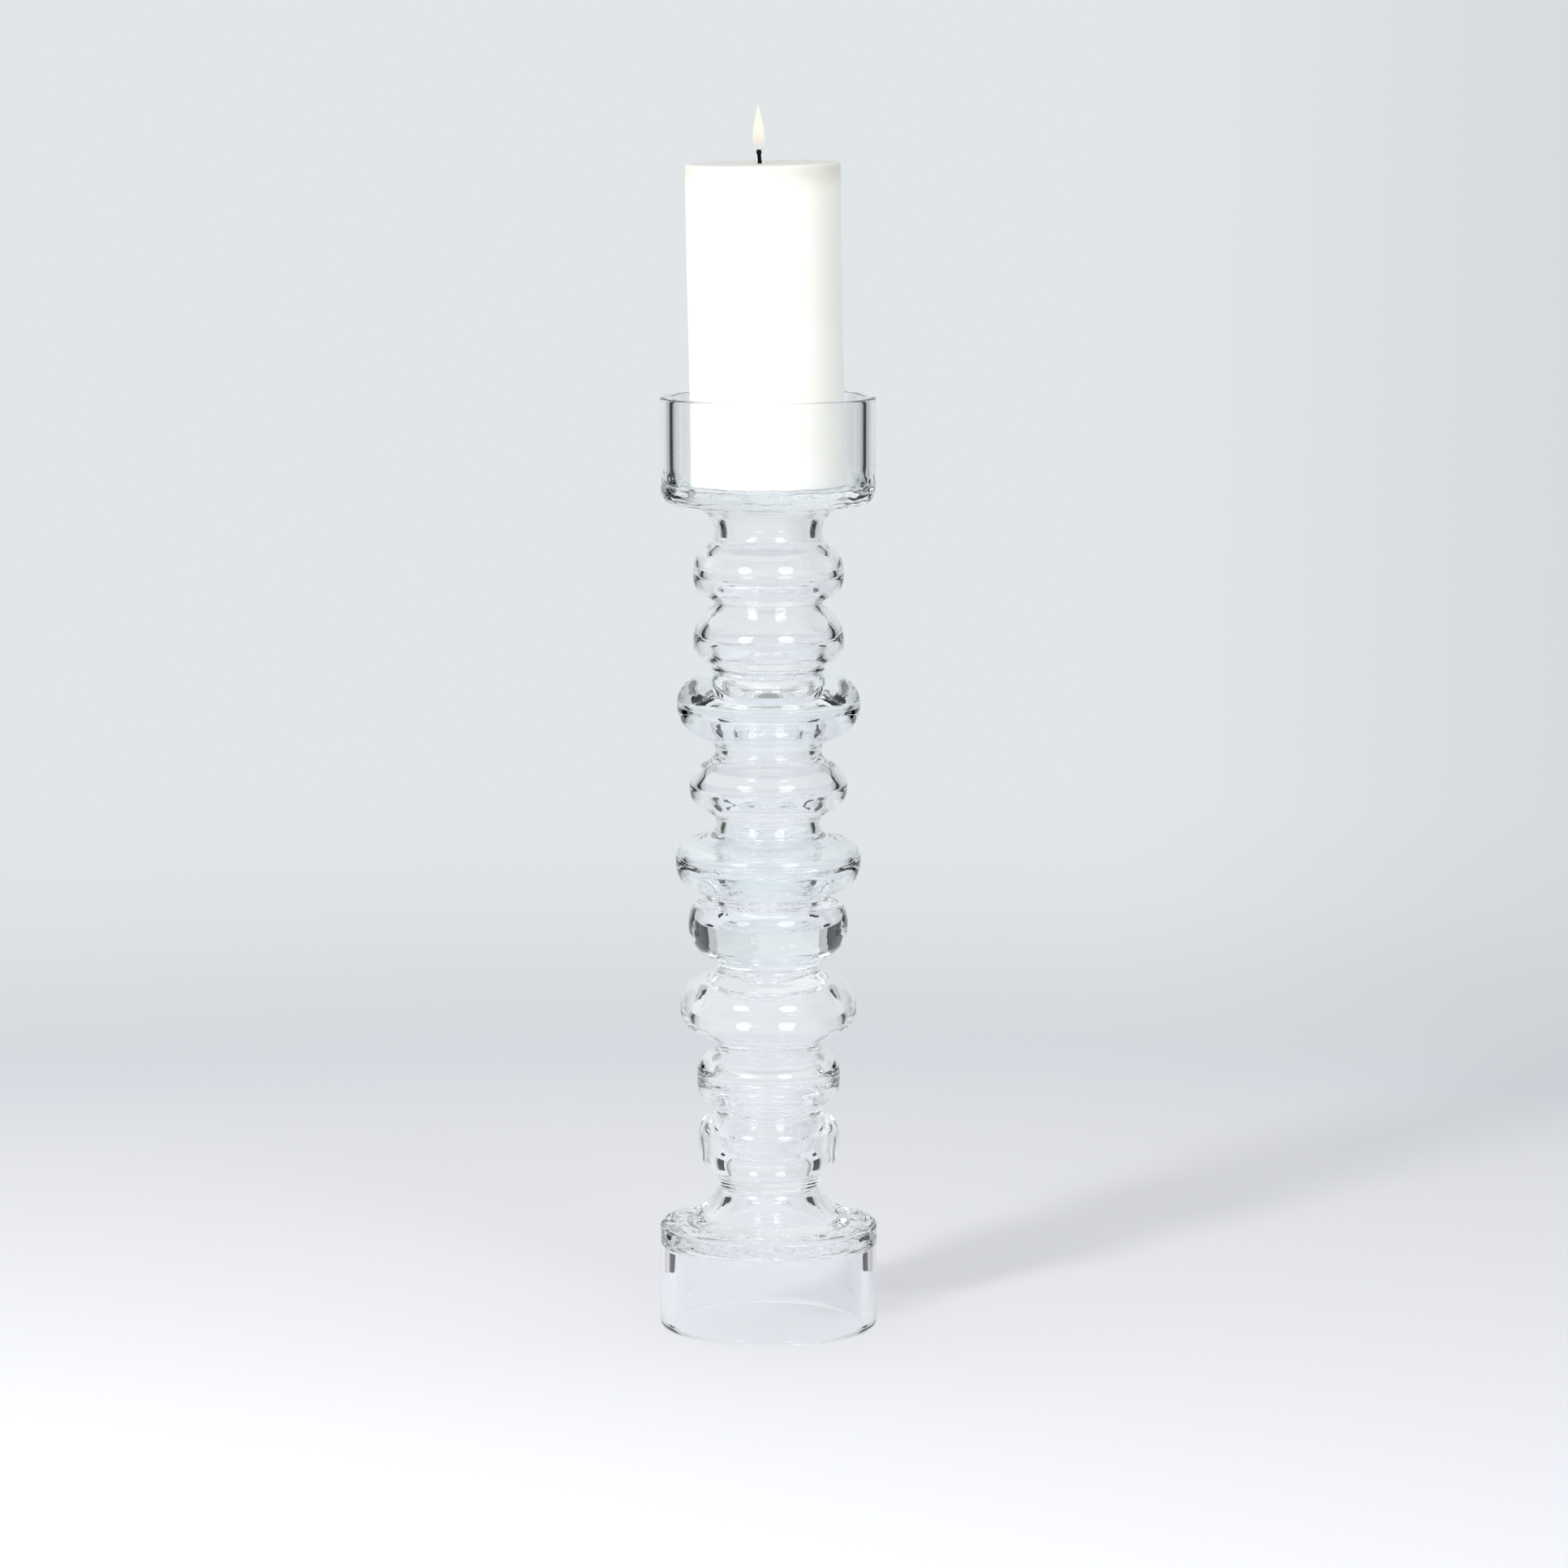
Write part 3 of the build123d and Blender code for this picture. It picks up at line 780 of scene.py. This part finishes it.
def make_foot_flare():
    rim = (FOOT_FLARE_RADIUS, BASE_TOP + FLARE_EDGE)
    spread = flare(NECK_THICK_FOOT[:2], rim, FOOT_FLARE_UPRIGHT, FOOT_FLARE_SLOPE)
    outer = join(straight((FOOT_FLARE_RADIUS, BASE_TOP), rim), spread[::-1])
    bore_neck = (FOOT_BORE_NECK, FOOT_BORE_CEILING - 2 * FOOT_BORE_ROUND)
    bore_rim = (FOOT_BORE_RADIUS, BASE_TOP)
    bore = flare(bore_neck, bore_rim, FOOT_BORE_UPRIGHT, FOOT_BORE_SLOPE)
    ceiling = rounded(
        [(0, FOOT_BORE_CEILING), (FOOT_BORE_NECK, FOOT_BORE_CEILING), bore_neck],
        [FOOT_BORE_ROUND],
    )
    inside = join(ceiling, bore)
    glass_piece(
        "foot_flare",
        (inside, BLOWN),
        (straight(inside[-1], outer[0]), FUSED),
        (outer, TURNED),
        (straight(outer[-1], (0, NECK_THICK_FOOT.height)), FUSED),
    )


def make_thick_bead():
    outer = swell(NECK_THICK_FOOT, BELLY_THICK, NECK_4_THICK)
    low_radius, low_height = THICK_BORE_LOW
    floor = rounded(
        [(0, THICK_BORE_FLOOR), (low_radius, THICK_BORE_FLOOR), THICK_BORE_LOW],
        [THICK_BORE_ROUND],
    )
    wall = swell(Girth(low_radius, low_height, 0.0, 0.4), BORE_THICK, BORE_4_THICK)
    inside = join(floor, wall)
    glass_piece(
        "thick_bead",
        (straight((0, NECK_THICK_FOOT.height), outer[0]), FUSED),
        (outer, TURNED),
        (straight(outer[-1], inside[-1]), FUSED),
        (inside[::-1], BLOWN),
    )


def make_flat_bead():
    outer = swell(NECK_FLAT_4, BELLY_FLAT, NECK_RING_FLAT)
    ceiling_radius, ceiling = FLAT_CEILING
    dimple_radius, dimple_top = FLAT_DIMPLE
    rise = ceiling - BORE_FLAT.height
    shoulder = bezier(
        BORE_FLAT[:2],
        (BORE_FLAT.radius, BORE_FLAT.height + rise * BORE_FLAT.above),
        (ceiling_radius + rise / 4, ceiling),
        FLAT_CEILING,
    )
    dimple = rounded(
        [FLAT_CEILING, (dimple_radius, ceiling), FLAT_DIMPLE, (0, dimple_top)],
        [FLAT_DIMPLE_ROUND, FLAT_DIMPLE_ROUND],
    )
    inside = join(swell(BORE_FLAT_4, BORE_FLAT), shoulder, dimple)
    glass_piece(
        "flat_bead",
        (inside[::-1], BLOWN),
        (straight(inside[0], outer[0]), FUSED),
        (outer, TURNED),
        (straight(outer[-1], (0, NECK_RING_FLAT.height)), FUSED),
    )


def make_solid_ring():
    crest_radius, crest_height = RING_CREST
    rise = crest_height - RING_FLOOR
    centre = (crest_radius, RING_FLOOR)
    shoulder = (BELLY_SOLID_RING.radius - crest_radius, rise)
    lip = (crest_radius - RING_DISH_RADIUS, rise)
    outer = join(
        swell(NECK_RING_FLAT, BELLY_SOLID_RING),
        quarter(centre, shoulder, 0, 90),
        quarter(centre, lip, 90, 90),
    )
    glass_piece(
        "solid_ring",
        (straight((0, NECK_RING_FLAT.height), outer[0]), FUSED),
        (outer, HEAVY),
        (straight(outer[-1], (STUB_BONDED, RING_FLOOR)), PRESSED),
        (straight((STUB_BONDED, RING_FLOOR), (0, RING_FLOOR)), FUSED),
    )


def make_stub_neck():
    foot = rounded(
        [(STUB_BONDED, RING_FLOOR), (STUB_RADIUS, RING_FLOOR), (STUB_RADIUS, STUB_STRAIGHT_TOP)],
        [STUB_FOOT_ROUND],
    )
    outer = join(foot, swell(Girth(STUB_RADIUS, STUB_STRAIGHT_TOP, 0, 0.45), NECK_DISC_STUB))
    floor = rounded(
        [(0, STUB_BORE_FLOOR), (STUB_BORE, STUB_BORE_FLOOR), (STUB_BORE, STUB_BORE_TOP)],
        [STUB_BORE_ROUND],
    )
    inside = join(floor, swell(Girth(STUB_BORE, STUB_BORE_TOP, 0, 0.5), BORE_DISC_STUB))
    glass_piece(
        "stub_neck",
        (straight((0, RING_FLOOR), (STUB_BONDED, RING_FLOOR)), FUSED),
        (outer, TURNED),
        (straight(outer[-1], inside[-1]), FUSED),
        (inside[::-1], BLOWN),
    )


make_beads()
make_cup_neck()
make_candle_cup()
make_base_cup()
make_foot_flare()
make_thick_bead()
make_flat_bead()
make_solid_ring()
make_stub_neck()

# ---------------------------------------------------------------- candle
LEAN = Matrix.Rotation(math.radians(-CANDLE_LEAN), 4, "Y")
STANDING = Matrix.Translation((0, 0, CANDLE_FOOT * MM)) @ LEAN
CANDLE_SEGMENTS = 128
SEAT_GAP = 0.2                # mm between the wax and the cup's floor, which is never quite flat
SAGS = (0.10, 0.06)           # mm, the broad and the fine sags of the wax's side
POOL_SPHERE = (POOL_RADIUS**2 + POOL_DEPTH**2) / (2 * POOL_DEPTH)


def circle(radius, height, middle, segments):
    """Ring of points about a line beside the candle's own axis."""
    return [
        (
            middle + radius * math.cos(TAU * k / segments),
            radius * math.sin(TAU * k / segments),
            height,
        )
        for k in range(segments)
    ]


def stand_candle_piece(piece, material, node=None):
    """Put a piece made in the candle's own axes where the leaning candle stands."""
    piece.data.transform(STANDING)
    lowest = (CANDLE_FOOT + SEAT_GAP) * MM
    for vert in piece.data.vertices:
        vert.co.z = max(vert.co.z, lowest)
    piece.data.materials.append(material)
    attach(piece, CANDLE)
    if node:
        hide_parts(node)


def hollow_height(reach):
    """Height of the burnt hollow's surface at a distance from the wick."""
    return CANDLE_HEIGHT - POOL_DEPTH + POOL_SPHERE - math.sqrt(POOL_SPHERE**2 - reach**2)


def make_wax():
    """Pillar with a soft top edge, a burnt hollow, and a hole for the wick and its tab."""
    hole = WICK_RADIUS
    corners = [
        (TAB_RADIUS, 0),
        (CANDLE_RADIUS, 0),
        (CANDLE_RADIUS, CANDLE_HEIGHT),
        (POOL_RADIUS, CANDLE_HEIGHT),
    ]
    side = rounded(corners, [CANDLE_EDGE_ROUND, CANDLE_EDGE_ROUND])
    hollow = []
    steps = 14
    for i in range(1, steps + 1):
        reach = POOL_RADIUS + (hole - POOL_RADIUS) * i / steps
        hollow.append((reach, hollow_height(reach)))
    tab_recess = [
        (hole, TAB_COLLAR_HEIGHT),
        (TAB_COLLAR_RADIUS, TAB_COLLAR_HEIGHT),
        (TAB_COLLAR_RADIUS, TAB_THICKNESS),
        (TAB_RADIUS, TAB_THICKNESS),
    ]
    rings = []
    for radius, height in side + hollow + tab_recess:
        share = max(0.0, min(1.0, (CANDLE_RADIUS - radius) / (CANDLE_RADIUS - POOL_RADIUS)))
        rings.append(circle(radius, height, WICK_OFFSET * share, CANDLE_SEGMENTS))
    piece = loft("wax_pillar", rings, closed=True)
    warp_wax(piece)
    stand_candle_piece(piece, wax_material(), "candle")


def warp_wax(piece):
    """Shallow sags that a poured and cooled pillar has on its side."""
    for vert in piece.data.vertices:
        x, y, z = (value / MM for value in vert.co)
        reach = math.hypot(x, y)
        if reach < CANDLE_RADIUS - CANDLE_EDGE_ROUND:
            continue
        angle = math.atan2(y, x)
        broad = SAGS[0] * math.sin(2 * angle + z / 31)
        fine = SAGS[1] * math.sin(3 * angle - z / 17 + 1)
        inset = sum(SAGS) + broad + fine
        vert.co.x *= 1 - inset / CANDLE_RADIUS
        vert.co.y *= 1 - inset / CANDLE_RADIUS


def make_melt_pool():
    """Melted wax that stands in the burnt hollow, drawn up a little at the wick and the edge."""
    level = CANDLE_HEIGHT - MELT_DROP
    edge = math.sqrt(POOL_SPHERE**2 - (POOL_SPHERE - POOL_DEPTH + MELT_DROP) ** 2)
    inner = WICK_RADIUS * 0.8
    at_wick, at_edge, spread = 0.35, 0.12, 0.5
    bed = 0.15
    steps = 16
    segments = 64
    surface = []
    under = []
    for i in range(steps + 1):
        reach = inner + (edge - inner) * i / steps
        rise = at_wick * math.exp((inner - reach) / spread)
        rise += at_edge * math.exp((reach - edge) / spread)
        surface.append((reach, level + rise - at_edge))
        under.append((reach, hollow_height(reach) - bed))
    outline = under + surface[::-1]
    rings = [circle(radius, height, WICK_OFFSET, segments) for radius, height in outline]
    piece = loft("melt_pool", rings, closed=True)
    stand_candle_piece(piece, melt_material())


def make_wick():
    """Braided cord, thinner where it has burnt, with a swollen head."""
    top = CANDLE_HEIGHT + WICK_ABOVE_WAX
    head = 2.4
    cord_radius = 1.12
    burnt_radius = 0.88
    swelling = 0.34
    scorch = 1.5
    strands = 3
    pitch = 3.4
    bend = -0.35
    step = 0.3
    segments = 24
    rings = [[(WICK_OFFSET, 0, TAB_THICKNESS)]]
    count = round((top - TAB_THICKNESS) / step)
    for i in range(count + 1):
        height = TAB_THICKNESS + (top - TAB_THICKNESS) * i / count
        burnt = min(1.0, max(0.0, (height - CANDLE_HEIGHT + scorch) / (2 * scorch)))
        radius = cord_radius + (burnt_radius - cord_radius) * burnt
        if height > top - head:
            share = min(0.86, (height - top + head) / head)
            radius = burnt_radius + swelling * math.sin(math.pi * share)
        lean = bend * max(0.0, height - CANDLE_HEIGHT) / WICK_ABOVE_WAX
        ring = []
        for k in range(segments):
            angle = TAU * k / segments
            twist = TAU * height / pitch
            braid = math.cos(strands * angle + twist) * math.cos(strands * angle - twist)
            crust = 0.07 * burnt * math.sin(5 * angle + 3.1 * height) * math.sin(4.3 * height)
            reach = radius * (1 + 0.10 * braid + crust)
            ring.append((
                WICK_OFFSET + lean + reach * math.cos(angle), reach * math.sin(angle), height
            ))
        rings.append(ring)
    rings.append([(WICK_OFFSET + lean, 0, top + 0.1)])
    piece = loft("wick_cord", rings)
    stand_candle_piece(piece, wick_material(), "wick")


def make_flame():
    """Still candle flame: a bright body inside a thin pale skin."""
    foot = CANDLE_HEIGHT + FLAME_CLEARANCE
    belly = foot + 8.6
    tip = foot + FLAME_HEIGHT
    middle = WICK_OFFSET - 0.3
    segments = 32
    for name, grow, strength in (("flame", 0.0, 0.80), ("flame_skin", 0.45, 0.12)):
        widest = 2.75 + grow
        body = join(
            bezier((0.8, foot), (2.3, foot + 1.2), (widest, foot + 4), (widest, belly)),
            bezier((widest, belly), (widest, belly + 6.0), (1.1, tip - 4.5), (0.3, tip)),
        )
        rings = [[(middle, 0, foot - 0.2)]]
        rings += [circle(radius, height, middle, segments) for radius, height in body]
        rings.append([(middle, 0, tip + 0.1)])
        piece = loft(name, rings)
        stand_candle_piece(piece, flame_material(name, strength))
        piece.visible_shadow = False


make_wax()
make_melt_pool()
make_wick()
make_flame()
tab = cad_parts["wick_tab"]
tab.data.materials.clear()
tab.data.materials.append(tab_material())

# ---------------------------------------------------------------- studio
CAMERA_PLACE = (0.0076, -2.900, 0.680)
CAMERA_PITCH = 8.08           # degrees down
CAMERA_LENS = 138.4

camera_data = bpy.data.cameras.new("camera")
camera_data.lens = CAMERA_LENS
camera_data.sensor_width = 36
camera_data.clip_end = 100
camera = bpy.data.objects.new("camera", camera_data)
camera.location = CAMERA_PLACE
camera.rotation_euler = (math.radians(90 - CAMERA_PITCH), 0, 0)
bpy.context.scene.collection.objects.link(camera)
bpy.context.scene.camera = camera


def towards(azimuth, elevation=0.0):
    """Direction that lies azimuth degrees to the right of straight behind the object."""
    around = math.radians(azimuth)
    above = math.radians(elevation)
    return Vector((
        math.sin(around) * math.cos(above),
        math.cos(around) * math.cos(above),
        math.sin(above),
    ))


LAMP_AIM = Vector((0, 0, 0.30))


def softbox(name, azimuth, elevation, distance, size, power):
    """Oval soft light aimed at the upper stem."""
    light = bpy.data.lights.new(name, "AREA")
    light.shape = "ELLIPSE"
    light.size, light.size_y = size
    light.energy = power
    lamp = bpy.data.objects.new(name, light)
    offset = towards(azimuth, elevation)
    lamp.location = LAMP_AIM + offset * distance
    lamp.rotation_euler = (-offset).to_track_quat("-Z", "Y").to_euler()
    bpy.context.scene.collection.objects.link(lamp)
    return lamp


LEFT_FRONT = 180 + 37
RIGHT_FRONT = 180 - 28
# Degrees round and up, m away, size in m, and watts.
softbox("key", LEFT_FRONT, 18, 1.6, (0.62, 0.50), 3.6)
softbox("fill", RIGHT_FRONT, 20, 1.9, (0.80, 0.70), 6.2)
wash = softbox("wash", LEFT_FRONT, 30, 1.7, (0.24, 0.24), 13.5)
wash.visible_glossy = False
wash.visible_transmission = False


def card_material(name, tone):
    material, tree, output = node_material(name)
    card = add(tree, "ShaderNodeEmission")
    card.inputs["Color"].default_value = (tone, tone, tone, 1)
    tree.links.new(card.outputs[0], output.inputs["Surface"])
    return material


CARD_TONES = {
    "black": card_material("black_card", 0.0),
    "grey": card_material("grey_card", 0.50),
}


CARD_LIFT = 1                 # mm over the floor


def card(tone, side, azimuths, reaches, height):
    """Card on the sweep that gives the glass its dark accents, and shows in the glass alone. It
    lies on the floor between two distances from the glass, and may stand up at its far end."""
    mesh = bpy.data.meshes.new("card_" + tone)
    start = Vector((side * CUP_RADIUS, 0, CARD_LIFT)) * MM
    inner, outer = (
        [start + towards(side * azimuth) * reach for reach in reaches] for azimuth in azimuths
    )
    corners = [inner[0], outer[0], outer[1], inner[1]]
    faces = [(0, 1, 2, 3)]
    if height:
        stand = Vector((0, 0, height))
        corners += [outer[1] + stand, inner[1] + stand]
        faces.append((3, 2, 4, 5))
    mesh.from_pydata([tuple(corner) for corner in corners], [], faces)
    mesh.materials.append(CARD_TONES[tone])
    piece = bpy.data.objects.new(mesh.name, mesh)
    piece.visible_camera = False
    piece.visible_diffuse = False
    piece.visible_shadow = False
    bpy.context.scene.collection.objects.link(piece)


# Degrees from straight behind as seen from the glass, m from the glass to the card's ends, and m
# that it stands up.
FAR_REACHES = (0.60, 3.2)
NEAR_REACHES = (0.115, 0.18)
FAR_HEIGHT = 1.50
for side in (-1, 1):
    card("black", side, (37.5, 62), FAR_REACHES, FAR_HEIGHT)
    card("black", side, (36, 52), NEAR_REACHES, 0)
    card("grey", side, (29.5, 37.5), FAR_REACHES, FAR_HEIGHT)


AIR_TONE = (0.755, 0.79, 0.815, 1)     # far sweep and the studio's air at the horizon


def right_shade(tree, direction, strength):
    """Let a light's strength fall off a little towards the right of the studio."""
    split = add(tree, "ShaderNodeSeparateXYZ")
    tree.links.new(direction, split.inputs[0])
    tree.links.new(remap(tree, split.outputs["X"], 0.05, 0.14, 1.0, 0.90), strength)


LIT_PLACE = 0.45                       # m in front of the object
SHADE_REACH = 2.5                      # m over which the painted light and shade of the far sweep change
GLOW_START, GLOW_FULL = 0.9, 1.6       # m between which lamplight gives way to the sweep's painted glow
FLOOR_RADIUS = 30                      # m


def floor_material():
    """Pale paper sweep: lit by the lamps near the object; further off it glows with painted light and
    a painted darker band of shade.
    Distances are measured from a place a little in front of the object."""
    material, tree, output = node_material("paper")
    place = add(tree, "ShaderNodeTexCoord")
    shift = add(tree, "ShaderNodeVectorMath", operation="ADD")
    shift.inputs[1].default_value = (0, LIT_PLACE, 0)
    reach = add(tree, "ShaderNodeVectorMath", operation="LENGTH")
    tree.links.new(place.outputs["Object"], shift.inputs[0])
    tree.links.new(shift.outputs["Vector"], reach.inputs[0])
    shade = remap(tree, reach.outputs["Value"], 0, SHADE_REACH, kind="LINEAR")
    # Painted light and shade of the far sweep: a bright near tone, a painted darker band, then the far
    # tone.
    ramp = add(tree, "ShaderNodeValToRGB")
    ramp.color_ramp.elements[0].position = 0.20
    ramp.color_ramp.elements[0].color = (0.84, 0.865, 0.91, 1)
    ramp.color_ramp.elements[1].position = 0.90
    ramp.color_ramp.elements[1].color = AIR_TONE
    for position, tone in (
        (0.28, (0.755, 0.785, 0.815, 1)),
        (0.37, (0.70, 0.735, 0.77, 1)),
        (0.46, (0.64, 0.68, 0.72, 1)),
        (0.54, (0.69, 0.715, 0.75, 1)),
        (0.72, (0.74, 0.77, 0.795, 1)),
    ):
        stop = ramp.color_ramp.elements.new(position)
        stop.color = tone
    tree.links.new(shade, ramp.inputs["Fac"])
    paper = add(tree, "ShaderNodeBsdfDiffuse")
    paper.inputs["Color"].default_value = (0.86, 0.865, 0.90, 1)
    glow = add(tree, "ShaderNodeEmission")
    tree.links.new(ramp.outputs["Color"], glow.inputs["Color"])
    outwards = add(tree, "ShaderNodeVectorMath", operation="ADD")
    outwards.inputs[1].default_value = (0, -CAMERA_PLACE[1], 0)
    heading = add(tree, "ShaderNodeVectorMath", operation="NORMALIZE")
    tree.links.new(place.outputs["Object"], outwards.inputs[0])
    tree.links.new(outwards.outputs["Vector"], heading.inputs[0])
    right_shade(tree, heading.outputs["Vector"], glow.inputs["Strength"])
    far = remap(tree, reach.outputs["Value"], GLOW_START, GLOW_FULL)
    surface = mixed(tree, far, paper.outputs[0], glow.outputs[0])
    tree.links.new(surface, output.inputs["Surface"])
    return material


def make_floor():
    mesh = bpy.data.meshes.new("floor")
    bm = bmesh.new()
    bmesh.ops.create_circle(bm, cap_ends=True, segments=96, radius=FLOOR_RADIUS)
    bm.to_mesh(mesh)
    bm.free()
    floor = bpy.data.objects.new("floor", mesh)
    mesh.materials.append(floor_material())
    bpy.context.scene.collection.objects.link(floor)


make_floor()


def air_light(tree, direction, height, overhead):
    """Light of the studio air, from the horizon up to its tone overhead."""
    ramp = add(tree, "ShaderNodeValToRGB")
    ramp.color_ramp.elements[0].color = AIR_TONE
    ramp.color_ramp.elements[1].color = overhead
    air = add(tree, "ShaderNodeBackground")
    tree.links.new(height, ramp.inputs["Fac"])
    tree.links.new(ramp.outputs["Color"], air.inputs["Color"])
    right_shade(tree, direction, air.inputs["Strength"])
    return air


def make_world():
    """Even studio air. A white ceiling shows in the glass, but gives the matt things little."""
    world = bpy.data.worlds.new("studio")
    world.use_nodes = True
    tree = world.node_tree
    tree.nodes.clear()
    output = add(tree, "ShaderNodeOutputWorld")
    place = add(tree, "ShaderNodeTexCoord")
    split = add(tree, "ShaderNodeSeparateXYZ")
    path = add(tree, "ShaderNodeLightPath")
    tree.links.new(place.outputs["Generated"], split.inputs[0])
    direction = place.outputs["Generated"]
    height = split.outputs["Z"]
    shown = air_light(tree, direction, height, (0.95, 0.965, 0.98, 1))
    given = air_light(tree, direction, height, (0.62, 0.62, 0.63, 1))
    surface = mixed(tree, path.outputs["Is Diffuse Ray"], shown.outputs[0], given.outputs[0])
    tree.links.new(surface, output.inputs["Surface"])
    bpy.context.scene.world = world


make_world()

scene = bpy.context.scene
scene.view_settings.view_transform = "Standard"
scene.view_settings.look = "None"
scene.cycles.max_bounces = 40
scene.cycles.transmission_bounces = 36
scene.cycles.glossy_bounces = 12
scene.cycles.diffuse_bounces = 4
scene.cycles.transparent_max_bounces = 48
scene.cycles.caustics_reflective = True
scene.cycles.caustics_refractive = True
